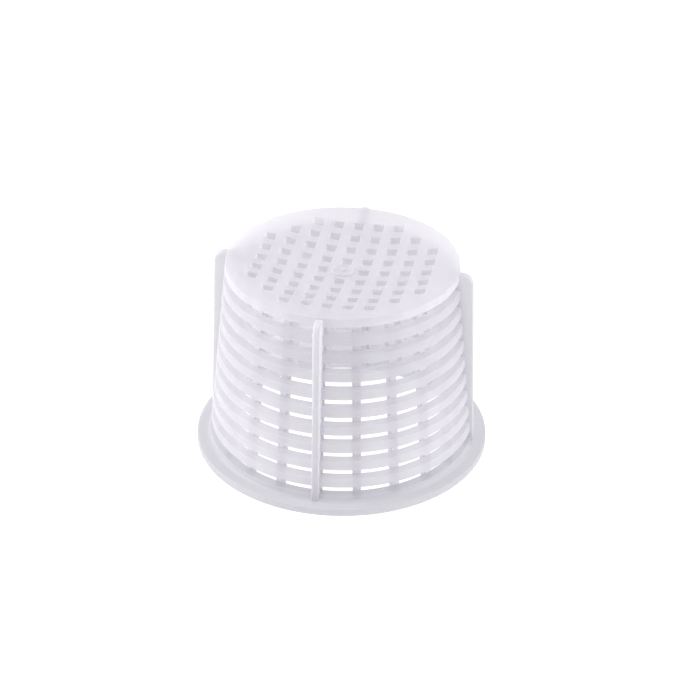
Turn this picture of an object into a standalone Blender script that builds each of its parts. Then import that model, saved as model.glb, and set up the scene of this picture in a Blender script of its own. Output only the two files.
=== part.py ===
"""Strainer basket of a foot valve, standing on its open mouth with its closed end up.

The basket is one translucent plastic moulding.  It is built here from its natural members: the
flange round the mouth, the bands and hoops of the tapered wall, the upright ribs inside them, the
four guide fins outside them, and the dished grid that closes the end.  Each member is its own
closed solid, CLEARANCE away from its neighbours.

Frame: +Z up along the basket's axis, origin at the centre of the mouth, on the face that the
basket stands on.  Units: metres.
"""
import math

import bmesh
import bpy

# --- driving dimensions ------------------------------------------------------------------------

CLEARANCE = 0.0003           # between two members that touch
SEGMENTS = 60                # facets round every ring

HEIGHT = 0.0510              # mouth to the rim of the closed end
WALL_RADIUS_MOUTH = 0.0344   # outside of the tapered wall, at the mouth
WALL_RADIUS_END = 0.02915    # outside of the tapered wall, at the closed end
WALL_THICKNESS = 0.0025      # of the bands and hoops, along the radius

FLANGE_REACH = 0.0031        # flange, outwards from the wall
FLANGE_THICKNESS = 0.0020
FLANGE_EDGE = 0.0003         # bevel along the flange's upper edge

SLOT_SILL = 0.0036           # mouth to the bottom of the lowest row of slots
SLOT_ROWS = 10
HOOP_HEIGHT = 0.0024         # hoop between two rows of slots, outside
HOOP_DRAFT = 0.0009          # how much further down a hoop reaches inside than outside
UPPER_BAND_HEIGHT = 0.0022   # plain band round the closed end
BAND_EDGE = 0.0003           # bevel along the closed end's rim

RIB_WIDTH = 0.0021
RIB_DEPTH = 0.0015           # along the radius
RIB_FOOT = 0.0010            # mouth to the bottom of a rib
PLAIN_RIBS = 4               # between each two fins
FIN_RIB_WIDTH = 0.0025       # the stouter rib behind each fin

FIN_THICKNESS = 0.0018
FIN_REACH_FOOT = 0.0003      # outwards from the wall, at the fin's foot
FIN_REACH_TOP = 0.0035       # outwards from the wall, at the fin's top
FIN_DROP = 0.0004            # closed end's rim down to the fin's top
FIN_CORNER = 0.0028          # radius of the fin's upper outer corner
FIN_CORNER_STEPS = 6

GRID_THICKNESS = 0.0026
GRID_DISH = 0.0031           # how far the middle of the end is sunk below its rim
GRID_PITCH = 0.00522         # square grid of holes
GRID_HOLE = 0.0027           # side of a hole
GRID_MARGIN = 0.0011         # least plain strip between a hole and the grid's edge
GATE_MARGIN = 0.0005         # least plain strip between a hole and the gate disc
GATE_RADIUS = 0.0029         # plain disc in the middle of the end
GATE_RISE = 0.0005           # how far the disc stands above the dish
GATE_SEGMENTS = 24

FIN_NAMES = ("right", "rear", "left", "front")

# --- sizes that follow from them ---------------------------------------------------------------

WALL_SLOPE = (WALL_RADIUS_END - WALL_RADIUS_MOUTH) / HEIGHT
SLOT_HEIGHT = (HEIGHT - UPPER_BAND_HEIGHT - SLOT_SILL - (SLOT_ROWS - 1) * HOOP_HEIGHT) / SLOT_ROWS
GRID_RADIUS = WALL_RADIUS_END - WALL_THICKNESS - CLEARANCE


def wall_radius(z):
    """Outside radius of the tapered wall at height z."""
    return WALL_RADIUS_MOUTH + WALL_SLOPE * z


def wall_bore(z):
    """Inside radius of the tapered wall at height z."""
    return wall_radius(z) - WALL_THICKNESS


def dish_drop(radius):
    """How far the end's dished face lies below the rim, at a distance from the axis."""
    return GRID_DISH * (1.0 - (radius / GRID_RADIUS) ** 2)


# --- material and object helpers ---------------------------------------------------------------

def clear_scene():
    for old in list(bpy.data.objects):
        bpy.data.objects.remove(old, do_unlink=True)


def natural_plastic(name):
    """Milky, translucent moulded plastic, with a faint lilac grey."""
    material = bpy.data.materials.new(name)
    material.use_nodes = True
    shader = material.node_tree.nodes["Principled BSDF"]
    shader.inputs["Base Color"].default_value = (0.78, 0.77, 0.82, 1.0)
    shader.inputs["Roughness"].default_value = 0.35
    shader.inputs["Metallic"].default_value = 0.0
    return material


def add_member(name, mesh_builder, parent, turn=0.0):
    """Make one member's object from its bmesh, turned about the basket's axis."""
    mesh = bpy.data.meshes.new(name)
    bmesh.ops.recalc_face_normals(mesh_builder, faces=mesh_builder.faces)
    mesh_builder.to_mesh(mesh)
    mesh_builder.free()
    mesh.materials.append(natural_plastic(name + "_plastic"))
    member = bpy.data.objects.new(name, mesh)
    member.rotation_euler = (0.0, 0.0, turn)
    member.parent = parent
    bpy.context.scene.collection.objects.link(member)
    return member


def shade_round(member):
    """Smooth a ring's facets and keep its edges crisp."""
    member.data.shade_smooth()
    member.data.set_sharp_from_angle(angle=math.radians(30.0))


# --- shapes ------------------------------------------------------------------------------------

def ring(profile, segments=SEGMENTS):
    """Closed ring: a profile of (radius, z) points turned about the axis."""
    shape = bmesh.new()
    loops = []
    for step in range(segments):
        angle = 2.0 * math.pi * step / segments
        loops.append([
            shape.verts.new((radius * math.cos(angle), radius * math.sin(angle), z))
            for radius, z in profile
        ])
    for step in range(segments):
        here = loops[step]
        there = loops[(step + 1) % segments]
        for corner in range(len(profile)):
            after = (corner + 1) % len(profile)
            shape.faces.new((here[corner], there[corner], there[after], here[after]))
    return shape


def wall_ring(bottom, top, edge=0.0, draft=0.0):
    """Band or hoop: a slice of the tapered wall, with a bevel along its upper outer edge.

    With a draft, its lower face slopes down inwards, so that the slot below widens outwards.
    """
    profile = [
        (wall_bore(bottom - draft), bottom - draft),
        (wall_radius(bottom), bottom),
        (wall_radius(top - edge), top - edge),
    ]
    if edge > 0.0:
        profile.append((wall_radius(top) - edge, top))
    profile.append((wall_bore(top), top))
    return ring(profile)


def upright(outline, thickness):
    """Flat upright member: an outline of (radius, z) points in the plane of +X, made thick in Y."""
    shape = bmesh.new()
    near = [shape.verts.new((radius, -thickness / 2.0, z)) for radius, z in outline]
    far = [shape.verts.new((radius, thickness / 2.0, z)) for radius, z in outline]
    shape.faces.new(near)
    shape.faces.new(list(reversed(far)))
    for corner in range(len(outline)):
        after = (corner + 1) % len(outline)
        shape.faces.new((near[after], near[corner], far[corner], far[after]))
    return shape


def rib_outline():
    """Rib: a bar along the inside of the wall, from above the mouth to under the grid."""
    top_inner_radius = wall_bore(HEIGHT) - CLEARANCE - RIB_DEPTH
    top = HEIGHT - dish_drop(top_inner_radius) - GRID_THICKNESS - CLEARANCE
    outer_foot = wall_bore(RIB_FOOT) - CLEARANCE
    outer_top = wall_bore(top) - CLEARANCE
    return [
        (outer_foot - RIB_DEPTH, RIB_FOOT),
        (outer_foot, RIB_FOOT),
        (outer_top, top),
        (outer_top - RIB_DEPTH, top),
    ]


def fin_outline():
    """Fin: a tapering plate outside the wall, with a round upper outer corner."""
    foot = FLANGE_THICKNESS + CLEARANCE
    top = HEIGHT - FIN_DROP
    inner_top = wall_radius(top) + CLEARANCE
    tip_foot = wall_radius(foot) + FIN_REACH_FOOT
    tip_top = wall_radius(top) + FIN_REACH_TOP
    corner = min(FIN_CORNER, tip_top - inner_top)
    lean = (tip_top - tip_foot) / (top - foot)
    outline = [
        (wall_radius(foot) + CLEARANCE, foot),
        (tip_foot, foot),
    ]
    for step in range(FIN_CORNER_STEPS + 1):
        angle = 0.5 * math.pi * step / FIN_CORNER_STEPS
        z = top - corner + corner * math.sin(angle)
        edge = tip_foot + lean * (top - corner - foot)
        outline.append((edge - corner * (1.0 - math.cos(angle)), z))
    outline.append((inner_top, top))
    return outline


def grid_holes():
    """Centres of the grid's holes: each place on the square grid that clears the edge and the gate."""
    farthest = GRID_RADIUS - GRID_MARGIN
    nearest = GATE_RADIUS + CLEARANCE + GATE_MARGIN
    reach = int(GRID_RADIUS / GRID_PITCH)
    places = [step * GRID_PITCH for step in range(-reach, reach + 1)]
    half = GRID_HOLE / 2.0
    holes = []
    for x in places:
        for y in places:
            far_corner = math.hypot(abs(x) + half, abs(y) + half)
            near_side = math.hypot(max(abs(x) - half, 0.0), max(abs(y) - half, 0.0))
            if far_corner <= farthest and near_side >= nearest:
                holes.append((x, y))
    return holes


def loop_of_edges(shape, points):
    """Closed loop of edges through points in the plane z = 0."""
    verts = [shape.verts.new((x, y, 0.0)) for x, y in points]
    return [shape.edges.new((verts[i], verts[(i + 1) % len(verts)])) for i in range(len(verts))]


def circle_points(radius, count):
    return [
        (radius * math.cos(2.0 * math.pi * i / count), radius * math.sin(2.0 * math.pi * i / count))
        for i in range(count)
    ]


def square_points(centre, side):
    x, y = centre
    half = side / 2.0
    return [(x - half, y - half), (x + half, y - half), (x + half, y + half), (x - half, y + half)]


def end_grid():
    """Round plate with square holes and a round one for the gate disc, sunk into a shallow dish."""
    shape = bmesh.new()
    edges = loop_of_edges(shape, circle_points(GRID_RADIUS, SEGMENTS))
    edges += loop_of_edges(shape, circle_points(GATE_RADIUS + CLEARANCE, GATE_SEGMENTS))
    for centre in grid_holes():
        edges += loop_of_edges(shape, square_points(centre, GRID_HOLE))
    bmesh.ops.triangle_fill(shape, edges=edges, use_beauty=True, use_dissolve=False)
    upper = list(shape.faces)
    lower = bmesh.ops.extrude_face_region(shape, geom=upper)["geom"]
    lower_verts = [item for item in lower if isinstance(item, bmesh.types.BMVert)]
    bmesh.ops.translate(shape, verts=lower_verts, vec=(0.0, 0.0, -GRID_THICKNESS))
    for vert in shape.verts:
        vert.co.z += HEIGHT - dish_drop(math.hypot(vert.co.x, vert.co.y))
    return shape


def gate_boss():
    """Plain disc in the middle of the dish, a little proud of it."""
    bottom = HEIGHT - GRID_DISH - GRID_THICKNESS
    top = HEIGHT - GRID_DISH + GATE_RISE
    shape = bmesh.new()
    discs = []
    for z in (bottom, top):
        discs.append([shape.verts.new((x, y, z)) for x, y in circle_points(GATE_RADIUS, GATE_SEGMENTS)])
    shape.faces.new(list(reversed(discs[0])))
    shape.faces.new(discs[1])
    for i in range(GATE_SEGMENTS):
        after = (i + 1) % GATE_SEGMENTS
        shape.faces.new((discs[0][i], discs[0][after], discs[1][after], discs[1][i]))
    return shape


# --- members -----------------------------------------------------------------------------------

def build_flange(basket):
    rim = WALL_RADIUS_MOUTH + FLANGE_REACH
    profile = [
        (wall_bore(0.0), 0.0),
        (rim, 0.0),
        (rim, FLANGE_THICKNESS - FLANGE_EDGE),
        (rim - FLANGE_EDGE, FLANGE_THICKNESS),
        (wall_bore(FLANGE_THICKNESS), FLANGE_THICKNESS),
    ]
    shade_round(add_member("mounting_flange", ring(profile), basket))


def build_wall(basket):
    lower_band = wall_ring(FLANGE_THICKNESS + CLEARANCE, SLOT_SILL)
    shade_round(add_member("lower_band", lower_band, basket))
    for number in range(1, SLOT_ROWS):
        bottom = SLOT_SILL + number * SLOT_HEIGHT + (number - 1) * HOOP_HEIGHT
        hoop = wall_ring(bottom, bottom + HOOP_HEIGHT, draft=HOOP_DRAFT)
        shade_round(add_member(f"hoop_{number:02d}", hoop, basket))
    upper_band = wall_ring(HEIGHT - UPPER_BAND_HEIGHT, HEIGHT, edge=BAND_EDGE)
    shade_round(add_member("upper_band", upper_band, basket))


def build_ribs(basket):
    """A stout rib behind each fin and the plain ribs between, all at the same angle apart."""
    per_quarter = PLAIN_RIBS + 1
    outline = rib_outline()
    number = 0
    for place in range(per_quarter * len(FIN_NAMES)):
        turn = 2.0 * math.pi * place / (per_quarter * len(FIN_NAMES))
        if place % per_quarter == 0:
            name = "fin_rib_" + FIN_NAMES[place // per_quarter]
            add_member(name, upright(outline, FIN_RIB_WIDTH), basket, turn)
        else:
            number += 1
            add_member(f"rib_{number:02d}", upright(outline, RIB_WIDTH), basket, turn)


def build_fins(basket):
    for quarter, side in enumerate(FIN_NAMES):
        turn = 0.5 * math.pi * quarter
        add_member("guide_fin_" + side, upright(fin_outline(), FIN_THICKNESS), basket, turn)


def build_end(basket):
    add_member("end_grid", end_grid(), basket)
    shade_round(add_member("gate_boss", gate_boss(), basket))


def build_basket():
    clear_scene()
    basket = bpy.data.objects.new("strainer_basket", None)
    bpy.context.scene.collection.objects.link(basket)
    build_flange(basket)
    build_wall(basket)
    build_ribs(basket)
    build_fins(basket)
    build_end(basket)


build_basket()
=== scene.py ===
# Strainer basket of a foot valve: one milky plastic moulding, in metres, with +Z up.
# It stands on its open mouth, closed end up, with its four fins at +X, +Y, -X and -Y.
import math

import bpy
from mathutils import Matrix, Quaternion, Vector


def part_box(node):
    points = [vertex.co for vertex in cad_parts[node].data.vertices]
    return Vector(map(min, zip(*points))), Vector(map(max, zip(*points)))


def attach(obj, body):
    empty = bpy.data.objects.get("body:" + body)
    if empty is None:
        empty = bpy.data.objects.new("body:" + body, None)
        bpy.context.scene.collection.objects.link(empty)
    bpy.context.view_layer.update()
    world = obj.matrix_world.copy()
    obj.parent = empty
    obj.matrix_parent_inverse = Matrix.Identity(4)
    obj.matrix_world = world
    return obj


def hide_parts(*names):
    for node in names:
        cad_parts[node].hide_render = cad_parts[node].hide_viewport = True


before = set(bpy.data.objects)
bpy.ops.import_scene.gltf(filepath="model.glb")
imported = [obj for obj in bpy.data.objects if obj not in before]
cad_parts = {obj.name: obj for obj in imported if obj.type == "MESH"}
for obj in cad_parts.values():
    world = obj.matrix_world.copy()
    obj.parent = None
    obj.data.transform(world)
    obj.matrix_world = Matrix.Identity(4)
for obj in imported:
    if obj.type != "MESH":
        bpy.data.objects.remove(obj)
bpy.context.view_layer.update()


# --- Mounting flange and foot of the wall ------------------------------------------------------
# The flat ring round the open mouth, which is clipped to the valve, and the plain foot of the
# wall on it. They are moulded in one piece from natural polypropylene, with a fillet between.

RING_SIDES = 144
WALL_THICKNESS = 0.0025
FLANGE_EDGE_ROUND = 0.0003
FLANGE_ROOT_FILLET = 0.0010
FLANGE_FILLET_STEPS = 5
FACING = 0.9                  # part of a face's normal along an axis, when it looks that way
CLOSE = 0.00001               # distance at which two places count as one
SHARP_EDGE = math.radians(30.0)

flange_low, flange_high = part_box("mounting_flange")
foot_low, foot_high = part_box("lower_band")
end_low, end_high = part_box("upper_band")
wall_lean = (end_high.x - foot_high.x) / (end_low.z - foot_low.z)


def wall_radius(height):
    """Outside radius of the tapered wall at a height."""
    return foot_high.x + wall_lean * (height - foot_low.z)


def deselect_all():
    """Leave edit mode and select nothing, because an operator acts on all that is selected."""
    if bpy.context.mode != "OBJECT":
        bpy.ops.object.mode_set(mode="OBJECT")
    bpy.ops.object.select_all(action="DESELECT")


def new_piece(name):
    """Name the primitive that was just added, and put its place and size into its mesh."""
    piece = bpy.context.object
    piece.name = name
    piece.data.name = name
    bpy.ops.object.transform_apply(location=True, rotation=True, scale=True)
    return piece


def pick(piece, mode, wanted):
    """In edit mode, select only the faces, edges or vertices whose place passes a test."""
    bpy.context.view_layer.objects.active = piece
    bpy.ops.object.mode_set(mode="EDIT")
    bpy.ops.mesh.select_mode(type=mode)
    bpy.ops.mesh.select_all(action="DESELECT")
    bpy.ops.object.mode_set(mode="OBJECT")
    points = piece.data.vertices
    if mode == "FACE":
        for face in piece.data.polygons:
            face.select = wanted(face.center, face.normal)
    elif mode == "EDGE":
        for edge in piece.data.edges:
            edge.select = all(wanted(points[end].co) for end in edge.vertices)
    else:
        for point in points:
            point.select = wanted(point.co)
    bpy.ops.object.mode_set(mode="EDIT")


def widen(factor):
    """Scale what is selected in edit mode about the basket's axis."""
    bpy.ops.transform.resize(value=(factor, factor, 1.0), center_override=(0.0, 0.0, 0.0))


def extrude(rise):
    """Extrude the selected faces straight up, or down for a negative rise."""
    bpy.ops.mesh.extrude_region_move(TRANSFORM_OT_translate={"value": (0.0, 0.0, rise)})


def bore_out(piece):
    """Join the two flat faces on the axis by a bore, and turn all faces outwards."""
    pick(piece, "FACE", lambda centre, normal: centre.xy.length < CLOSE
         and abs(normal.z) > FACING)
    bpy.ops.mesh.bridge_edge_loops()
    bpy.ops.mesh.select_all(action="SELECT")
    bpy.ops.mesh.normals_make_consistent(inside=False)
    bpy.ops.object.mode_set(mode="OBJECT")


def use_modifier(piece, kind, **settings):
    """Add a modifier with its settings, and apply it."""
    deselect_all()
    piece.select_set(True)
    bpy.context.view_layer.objects.active = piece
    modifier = piece.modifiers.new(kind.lower(), kind)
    for setting, value in settings.items():
        setattr(modifier, setting, value)
    bpy.ops.object.modifier_apply(modifier=modifier.name)


def even_shading(piece):
    """Shade smoothly, with the flat faces flat and only the rounded edges between them curved."""
    deselect_all()
    piece.select_set(True)
    bpy.context.view_layer.objects.active = piece
    bpy.ops.object.shade_smooth()
    use_modifier(piece, "WEIGHTED_NORMAL", mode="FACE_AREA_WITH_ANGLE", weight=50)


def round_edges(piece, radius, steps=3):
    """Round every sharp edge, as the mould leaves it."""
    use_modifier(
        piece, "BEVEL", width=radius, segments=steps, limit_method="ANGLE",
        angle_limit=SHARP_EDGE, use_clamp_overlap=True,
    )
    even_shading(piece)


deselect_all()
bpy.ops.mesh.primitive_cylinder_add(
    vertices=RING_SIDES, radius=flange_high.x, depth=flange_high.z,
    location=(0.0, 0.0, flange_high.z / 2.0),
)
flange = new_piece("flange_ring")
pick(flange, "FACE", lambda centre, normal: normal.z > FACING)
bpy.ops.mesh.inset(thickness=flange_high.x - wall_radius(flange_high.z))
extrude(foot_high.z - flange_high.z)
widen(wall_radius(foot_high.z) / wall_radius(flange_high.z))
bpy.ops.mesh.inset(thickness=WALL_THICKNESS)
pick(flange, "FACE", lambda centre, normal: normal.z < -FACING)
bpy.ops.mesh.inset(thickness=flange_high.x - wall_radius(0.0) + WALL_THICKNESS)
bore_out(flange)
pick(flange, "EDGE", lambda spot: abs(spot.z - flange_high.z) < CLOSE
     and spot.xy.length < wall_radius(0.0))
bpy.ops.mesh.bevel(offset=FLANGE_ROOT_FILLET, segments=FLANGE_FILLET_STEPS)
bpy.ops.object.mode_set(mode="OBJECT")
round_edges(flange, FLANGE_EDGE_ROUND)


def linear(hex_colour):
    """Linear colour of an sRGB hex value."""
    parts = [int(hex_colour[i:i + 2], 16) / 255.0 for i in (1, 3, 5)]
    return [p / 12.92 if p <= 0.04045 else ((p + 0.055) / 1.055) ** 2.4 for p in parts] + [1.0]


def add_node(tree, kind, inputs, **settings):
    """Add a node with its settings. An input is a value, or the output that is linked to it."""
    node = tree.nodes.new(kind)
    for setting, value in settings.items():
        setattr(node, setting, value)
    for socket, value in inputs.items():
        if isinstance(value, bpy.types.NodeSocket):
            tree.links.new(value, node.inputs[socket])
        else:
            node.inputs[socket].default_value = value
    return node


# Natural polypropylene, injection moulded: milky, with a faint lilac grey. Light goes into it and
# comes out all round, a little passes straight through, and the mould leaves it satin.
CLOUD_SIZE = 0.009       # of the faint clouds in the milk of the plastic
GRAIN_SIZE = 0.0007      # of the mould's spark-eroded skin, drawn coarser than the real 0.1 mm
GRAIN_DEPTH = 0.00002
GRAIN_STRENGTH = 0.6
PLASTIC_IOR = 1.49


def natural_polypropylene(name, body, cloud, through, glow_share, clear_share, satin=(0.30, 0.42)):
    """Milky plastic with faint clouds. Body and cloud colour what its skin sends back.

    Of the light that meets it, clear_share passes straight on, and glow_share of the rest goes
    through it and comes out diffused, tinted by through. Satin is its least and most roughness.
    """
    material = bpy.data.materials.new(name)
    material.use_nodes = True
    tree = material.node_tree
    tree.nodes.clear()
    place = add_node(tree, "ShaderNodeTexCoord", {}).outputs["Object"]
    clouds = add_node(tree, "ShaderNodeTexNoise", {
        "Vector": place, "Scale": 1.0 / CLOUD_SIZE, "Detail": 3.0, "Roughness": 0.55,
    }).outputs["Fac"]
    colour = add_node(tree, "ShaderNodeMix", {
        "Factor": clouds, "A": linear(body), "B": linear(cloud),
    }, data_type="RGBA")
    roughness = add_node(tree, "ShaderNodeMapRange", {
        "Value": clouds, "From Min": 0.3, "From Max": 0.7, "To Min": satin[0], "To Max": satin[1],
    })
    grain = add_node(tree, "ShaderNodeTexNoise", {
        "Vector": place, "Scale": 1.0 / GRAIN_SIZE, "Detail": 2.0, "Roughness": 0.5,
    })
    skin = add_node(tree, "ShaderNodeBump", {
        "Height": grain.outputs["Fac"], "Distance": GRAIN_DEPTH, "Strength": GRAIN_STRENGTH,
    }).outputs["Normal"]
    surface = add_node(tree, "ShaderNodeBsdfPrincipled", {
        "Base Color": colour.outputs[2], "Roughness": roughness.outputs[0], "Normal": skin,
        "IOR": PLASTIC_IOR,
    })
    glow = add_node(tree, "ShaderNodeBsdfTranslucent", {"Color": linear(through), "Normal": skin})
    milk = add_node(tree, "ShaderNodeMixShader", {
        0: glow_share, 1: surface.outputs[0], 2: glow.outputs[0],
    })
    clear = add_node(tree, "ShaderNodeBsdfTransparent", {"Color": linear("#FBFAFD")})
    both = add_node(tree, "ShaderNodeMixShader", {
        0: clear_share, 1: milk.outputs[0], 2: clear.outputs[0],
    })
    add_node(tree, "ShaderNodeOutputMaterial", {"Surface": both.outputs[0]})
    return material


def finish_piece(piece, material, *nodes):
    """Give a finished piece its plastic, and tie it to the frame in place of its CAD nodes."""
    piece.data.materials.clear()
    piece.data.materials.append(material)
    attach(piece, "root")
    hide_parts(*nodes)


# The flange's body colours are darker than the wall's, though it is the same plastic: painted
# shade, for the dimmer light that falls on it at the foot of the basket.
flange_plastic = natural_polypropylene(
    "natural_polypropylene_flange_painted_shade", "#D3D2D7", "#CDCCD2", "#E2E1E6", 0.45, 0.32
)
finish_piece(flange, flange_plastic, "mounting_flange", "lower_band")


# --- Hoops -------------------------------------------------------------------------------------
# Nine flat rings, each a little narrower than the one below, with a row of slots under each.
# They are the outer part of the moulded wall. Each reaches lower inside, so that the slots draw
# off the mould, and its edges are slightly round.

HOOP_COUNT = 9
HOOP_DRAFT = 0.0009           # how much further down a hoop reaches inside than outside
HOOP_EDGE_ROUND = 0.0002

wall_plastic = natural_polypropylene(
    "natural_polypropylene_wall", "#EBEAED", "#E6E5E9", "#F4F3F5", 0.55, 0.30
)

for number in range(1, HOOP_COUNT + 1):
    node = f"hoop_{number:02d}"
    hoop_low, hoop_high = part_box(node)
    bottom = hoop_low.z + HOOP_DRAFT
    deselect_all()
    bpy.ops.mesh.primitive_cone_add(
        vertices=RING_SIDES, radius1=wall_radius(bottom), radius2=wall_radius(hoop_high.z),
        depth=hoop_high.z - bottom, location=(0.0, 0.0, (bottom + hoop_high.z) / 2.0),
    )
    hoop = new_piece(f"wall_hoop_{number:02d}")
    pick(hoop, "FACE", lambda centre, normal: abs(normal.z) > FACING)
    bpy.ops.mesh.inset(thickness=WALL_THICKNESS, use_individual=True)
    bore_out(hoop)
    pick(hoop, "EDGE", lambda spot: spot.z < bottom + CLOSE
         and spot.xy.length < wall_radius(bottom) - WALL_THICKNESS / 2.0)
    bpy.ops.transform.translate(value=(0.0, 0.0, -HOOP_DRAFT))
    bpy.ops.object.mode_set(mode="OBJECT")
    round_edges(hoop, HOOP_EDGE_ROUND)
    finish_piece(hoop, wall_plastic, node)


# --- Upright ribs ------------------------------------------------------------------------------
# Twenty slim bars, moulded against the inside of the hoops. They tie the hoops together and part
# the rows into slots. The four behind the fins are stouter.

RIB_WIDTH = 0.0021
RIB_DEPTH = 0.0015            # inwards from the hoops
RIB_ROOT = 0.0003             # how far a rib runs into the hoops
RIB_GAP = 0.0003              # left by the frame between its hoops and its ribs
RIB_NARROWING = 0.86          # inner face, as a share of the outer one
RIB_EDGE_ROUND = 0.0003
RIB_TOP_IN_PLATE = 0.0005
RIBS_PER_QUARTER = 5
FIN_SIDES = ("right", "rear", "left", "front")

stout_low, stout_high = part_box("fin_rib_right")


def upright_rib(name, width):
    """Bar on the inside of the wall at +X, leaning in with it."""
    foot, top = stout_low.z, stout_high.z + RIB_TOP_IN_PLATE
    outer = wall_radius(foot) - WALL_THICKNESS + RIB_ROOT
    inner = wall_radius(foot) - WALL_THICKNESS - RIB_GAP - RIB_DEPTH
    deselect_all()
    bpy.ops.mesh.primitive_cube_add(
        size=1.0, location=((outer + inner) / 2.0, 0.0, (foot + top) / 2.0),
        scale=(outer - inner, width, top - foot),
    )
    rib = new_piece(name)
    pick(rib, "FACE", lambda centre, normal: normal.x < -FACING)
    bpy.ops.transform.resize(value=(1.0, RIB_NARROWING, 1.0), center_override=(0.0, 0.0, 0.0))
    pick(rib, "FACE", lambda centre, normal: normal.z > FACING)
    bpy.ops.transform.translate(value=(wall_lean * (top - foot), 0.0, 0.0))
    bpy.ops.object.mode_set(mode="OBJECT")
    round_edges(rib, RIB_EDGE_ROUND)
    return rib


def copy_turned(piece, name, turn):
    """Copy a piece with its own mesh, turned about the basket's axis."""
    deselect_all()
    piece.select_set(True)
    bpy.context.view_layer.objects.active = piece
    bpy.ops.object.duplicate()
    bpy.context.object.rotation_euler.z = turn
    return new_piece(name)


# The ribs' body colours are lighter than the wall's, though it is the same plastic: painted light,
# for the light the plastic scatters back where a rib thickens the wall.
rib_plastic = natural_polypropylene(
    "natural_polypropylene_rib", "#F0EFF2", "#EBEAEE", "#F5F4F6", 0.50, 0.10
)
plain_rib = upright_rib("rib_pattern", RIB_WIDTH)
stout_rib = upright_rib("stout_rib_pattern", stout_high.y - stout_low.y)
rib_number = 0
for place in range(RIBS_PER_QUARTER * len(FIN_SIDES)):
    turn = 2.0 * math.pi * place / (RIBS_PER_QUARTER * len(FIN_SIDES))
    if place % RIBS_PER_QUARTER == 0:
        side = FIN_SIDES[place // RIBS_PER_QUARTER]
        rib = copy_turned(stout_rib, f"stout_rib_{side}", turn)
        finish_piece(rib, rib_plastic, f"fin_rib_{side}")
    else:
        rib_number += 1
        rib = copy_turned(plain_rib, f"upright_rib_{rib_number:02d}", turn)
        finish_piece(rib, rib_plastic, f"rib_{rib_number:02d}")
for pattern in (plain_rib, stout_rib):
    bpy.data.objects.remove(pattern)


# --- Guide fins --------------------------------------------------------------------------------
# Four thin upright plates outside the wall, which keep the basket in the middle of its housing.
# Each grows from nothing at the flange to its full reach under the closed end, and runs through
# the wall to the stout rib behind it.

FIN_ROOT = 0.0030             # inwards from the wall's outside
FIN_CORNER = 0.0028
FIN_CORNER_STEPS = 8
FIN_EDGE_ROUND = 0.0003
FIN_REACH_FOOT = 0.0003       # outwards from the wall
FIN_REACH_TOP = 0.0035

fin_low, fin_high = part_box("guide_fin_right")
fin_foot = flange_high.z / 2.0
fin_plastic = natural_polypropylene(
    "natural_polypropylene_fin", "#EDECEF", "#E8E7EB", "#F3F2F5", 0.45, 0.22
)
deselect_all()
bpy.ops.mesh.primitive_cube_add(
    size=1.0,
    location=(wall_radius(fin_foot) + (FIN_REACH_FOOT - FIN_ROOT) / 2.0, 0.0,
              (fin_foot + fin_high.z) / 2.0),
    scale=(FIN_ROOT + FIN_REACH_FOOT, fin_high.y - fin_low.y, fin_high.z - fin_foot),
)
fin_pattern = new_piece("fin_pattern")
lean_in = wall_radius(fin_high.z) - wall_radius(fin_foot)
pick(fin_pattern, "FACE", lambda centre, normal: normal.z > FACING)
bpy.ops.transform.translate(value=(lean_in, 0.0, 0.0))
tip = wall_radius(fin_high.z) + FIN_REACH_TOP
pick(fin_pattern, "VERT", lambda spot: spot.z > fin_high.z - CLOSE
     and spot.x > wall_radius(fin_high.z))
bpy.ops.transform.translate(value=(FIN_REACH_TOP - FIN_REACH_FOOT, 0.0, 0.0))
pick(fin_pattern, "EDGE", lambda spot: spot.z > fin_high.z - CLOSE
     and spot.x > tip - CLOSE)
bpy.ops.mesh.bevel(offset=FIN_CORNER, segments=FIN_CORNER_STEPS)
bpy.ops.object.mode_set(mode="OBJECT")
round_edges(fin_pattern, FIN_EDGE_ROUND)
for quarter, side in enumerate(FIN_SIDES):
    fin = copy_turned(fin_pattern, f"fin_blade_{side}", 0.5 * math.pi * quarter)
    finish_piece(fin, fin_plastic, f"guide_fin_{side}")
bpy.data.objects.remove(fin_pattern)


# --- Closed end --------------------------------------------------------------------------------
# The dished round plate that closes the basket, with its square grid of square holes, and the
# plain band round it. They are moulded in one, so its top runs unbroken to a rounded rim.

GRID_PITCH = 0.00522
GRID_HOLE = 0.0027
GRID_REACH = 20.5             # farthest hole from the middle, in squared pitches
GRID_CELLS = 11
GRID_RADIUS = 0.02635         # of the dished part
GRID_DISH = 0.0031
PLATE_THICKNESS = 0.0026
BAND_INSIDE = 0.02705
RIM_CUTS = 5                  # across each step of the grid's outline, to turn it round
CORNER_CLOSE = 0.01           # in pitches
HOLE_EDGE_ROUND = 0.0002
HOLE_EDGE_STEPS = 2
HOLE_SHARP_EDGE = math.radians(60.0)

rim_radius = wall_radius(end_high.z)
plate_under = end_high.z - PLATE_THICKNESS
end_plastic = natural_polypropylene(
    "natural_polypropylene_end", "#EBEAED", "#E6E5E9", "#F6F5F7", 0.50, 0.36, (0.42, 0.52)
)


def is_grid_cell(centre):
    """Whether a square of the grid is one of those that are pierced, or the one in the middle."""
    return centre.xy.length_squared < GRID_REACH * GRID_PITCH ** 2


def is_grid_outline(spot):
    """Whether a point is a corner of a grid square, on the stepped outline of them all."""
    steps = [abs(part) / GRID_PITCH for part in spot.xy]
    return (all(abs(step % 1.0 - 0.5) < CORNER_CLOSE for step in steps)
            and sum((step + 0.5) ** 2 for step in steps) > GRID_REACH)


deselect_all()
bpy.ops.mesh.primitive_grid_add(
    x_subdivisions=GRID_CELLS, y_subdivisions=GRID_CELLS, size=GRID_CELLS * GRID_PITCH,
    location=(0.0, 0.0, end_high.z),
)
plate = new_piece("closed_end")

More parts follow.
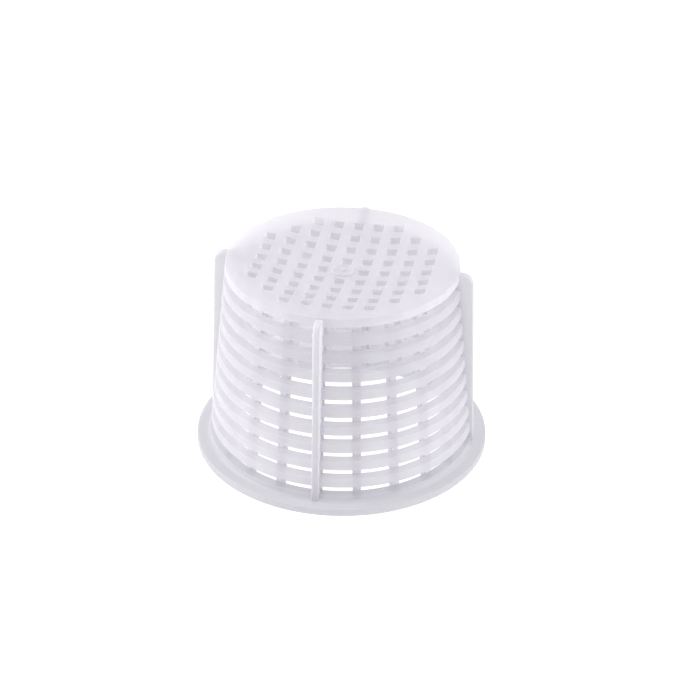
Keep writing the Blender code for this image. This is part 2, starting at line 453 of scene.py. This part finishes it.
# The squares are pierced, and their stepped outline is drawn out to a round rim.
pick(plate, "FACE", lambda centre, normal: not is_grid_cell(centre))
bpy.ops.mesh.delete(type="FACE")
pick(plate, "FACE", lambda centre, normal: centre.xy.length > GRID_PITCH / 2.0)
bpy.ops.mesh.inset(thickness=(GRID_PITCH - GRID_HOLE) / 2.0, use_individual=True)
bpy.ops.mesh.delete(type="FACE")
pick(plate, "EDGE", is_grid_outline)
bpy.ops.mesh.subdivide(number_cuts=RIM_CUTS)
bpy.ops.mesh.extrude_edges_move()
bpy.ops.transform.tosphere(value=1.0)
bpy.ops.object.mode_set(mode="OBJECT")
round_radius = max(spot.co.xy.length for spot in plate.data.vertices if spot.select)
bpy.ops.object.mode_set(mode="EDIT")
widen(BAND_INSIDE / round_radius)
bpy.ops.mesh.extrude_edges_move()
widen(rim_radius / BAND_INSIDE)

# The dish is pressed down about a point in the middle.
pick(plate, "FACE", lambda centre, normal: centre.xy.length < CLOSE)
bpy.ops.mesh.poke()
pick(plate, "VERT", lambda spot: spot.xy.length < CLOSE)
bpy.ops.transform.translate(
    value=(0.0, 0.0, -GRID_DISH), use_proportional_edit=True,
    proportional_edit_falloff="INVERSE_SQUARE", proportional_size=GRID_RADIUS,
)

# The sheet gets its thickness, and its holes and rim are rounded. The band under the rim is a
# little shallower than the plate.
bpy.ops.mesh.select_mode(type="FACE")
bpy.ops.mesh.select_all(action="SELECT")
extrude(-PLATE_THICKNESS)
bpy.ops.mesh.select_all(action="SELECT")
bpy.ops.mesh.normals_make_consistent(inside=False)
bpy.ops.mesh.select_mode(type="EDGE")
bpy.ops.mesh.select_all(action="DESELECT")
bpy.ops.mesh.edges_select_sharp(sharpness=HOLE_SHARP_EDGE)
bpy.ops.mesh.bevel(offset=HOLE_EDGE_ROUND, segments=HOLE_EDGE_STEPS)
pick(plate, "VERT", lambda spot: spot.z < plate_under + 2.0 * HOLE_EDGE_ROUND
     and spot.xy.length > BAND_INSIDE - CLOSE)
bpy.ops.transform.translate(value=(0.0, 0.0, end_low.z - plate_under))
widen(wall_radius(end_low.z) / rim_radius)
bpy.ops.object.mode_set(mode="OBJECT")
even_shading(plate)
finish_piece(plate, end_plastic, "upper_band", "end_grid")


# --- Gate disc ---------------------------------------------------------------------------------
# The small plain disc in the middle of the closed end, where the plastic was injected. It has a
# low raised rim, and the cut stub of the gate in its middle.

GATE_SIDES = 48
GATE_RIM = 0.0005
GATE_SINK = 0.00025
GATE_STUB = 0.0006
GATE_STUB_RISE = 0.0003
GATE_EDGE_ROUND = 0.00012

gate_low, gate_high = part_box("gate_boss")
deselect_all()
bpy.ops.mesh.primitive_cylinder_add(
    vertices=GATE_SIDES, radius=gate_high.x, depth=gate_high.z - gate_low.z,
    location=(0.0, 0.0, (gate_low.z + gate_high.z) / 2.0),
)
gate = new_piece("gate_disc")
pick(gate, "FACE", lambda centre, normal: normal.z > FACING)
bpy.ops.mesh.inset(thickness=GATE_RIM)
extrude(-GATE_SINK)
bpy.ops.mesh.inset(thickness=gate_high.x - GATE_RIM - GATE_STUB)
extrude(GATE_STUB_RISE)
bpy.ops.object.mode_set(mode="OBJECT")
round_edges(gate, GATE_EDGE_ROUND)
finish_piece(gate, end_plastic, "gate_boss")


# --- Floor, light and camera -------------------------------------------------------------------
# A white table that is lit from below, so milky plastic glows from inside and casts no shadow.
# Large soft lights stand on the left and right, with one above, and a weak one behind.

FLOOR_SIZE = 6.0
FLOOR_GREY = (0.15, 0.15, 0.15, 1.0)
FLOOR_ROUGHNESS = 0.8
WHITE = (1.0, 1.0, 1.0, 1.0)
FLOOR_GLOW = 1.0
WORLD_STRENGTH = 0.34
SIDE_LIGHT_SIZE = 0.40
TOP_LIGHT_SIZE = 0.50

floor_white = bpy.data.materials.new("lit_white_acrylic")
floor_white.use_nodes = True
floor_surface = floor_white.node_tree.nodes["Principled BSDF"]
floor_surface.inputs["Base Color"].default_value = FLOOR_GREY
floor_surface.inputs["Roughness"].default_value = FLOOR_ROUGHNESS
floor_surface.inputs["Emission Color"].default_value = WHITE
floor_surface.inputs["Emission Strength"].default_value = FLOOR_GLOW
deselect_all()
bpy.ops.mesh.primitive_plane_add(size=FLOOR_SIZE)
floor = new_piece("floor")
floor.data.materials.append(floor_white)

world = bpy.data.worlds.new("studio")
bpy.context.scene.world = world
world.use_nodes = True
sky = world.node_tree.nodes["Background"]
sky.inputs["Color"].default_value = WHITE
sky.inputs["Strength"].default_value = WORLD_STRENGTH

middle = Vector((0.0, 0.0, end_high.z / 2.0))


def soft_light(name, place, size, power):
    """Square area light that faces the middle of the basket, with its power in watts."""
    facing = (middle - Vector(place)).to_track_quat("-Z", "Y").to_euler()
    bpy.ops.object.light_add(type="AREA", location=place, rotation=facing)
    light = bpy.context.object
    light.name = name
    light.data.size = size
    light.data.energy = power


soft_light("left_light", (-0.58, -0.10, 0.30), SIDE_LIGHT_SIZE, 4.1)
soft_light("right_light", (0.60, -0.06, 0.27), SIDE_LIGHT_SIZE, 2.8)
soft_light("rear_light", (-0.10, 0.64, 0.08), SIDE_LIGHT_SIZE, 0.3)
soft_light("top_light", (0.0, 0.15, 0.80), TOP_LIGHT_SIZE, 2.2)

CAMERA_AZIMUTH = math.radians(10.6)
CAMERA_ELEVATION = math.radians(31.1)
CAMERA_ROLL = math.radians(0.57)
CAMERA_DISTANCE = 0.5
CAMERA_LENS = 100.93
CAMERA_AIM = Vector((0.001956, 0.000366, 0.02506))
CAMERA_NEAR = 0.05
CAMERA_FAR = 20.0

back = Vector((
    math.sin(CAMERA_AZIMUTH) * math.cos(CAMERA_ELEVATION),
    -math.cos(CAMERA_AZIMUTH) * math.cos(CAMERA_ELEVATION),
    math.sin(CAMERA_ELEVATION),
))
turn = (-back).to_track_quat("-Z", "Y") @ Quaternion((0.0, 0.0, 1.0), CAMERA_ROLL)
bpy.ops.object.camera_add(location=CAMERA_AIM + back * CAMERA_DISTANCE, rotation=turn.to_euler())
camera = bpy.context.object
camera.name = "camera"
camera.data.lens = CAMERA_LENS
camera.data.clip_start = CAMERA_NEAR
camera.data.clip_end = CAMERA_FAR
bpy.context.scene.camera = camera
bpy.context.scene.view_settings.view_transform = "Standard"
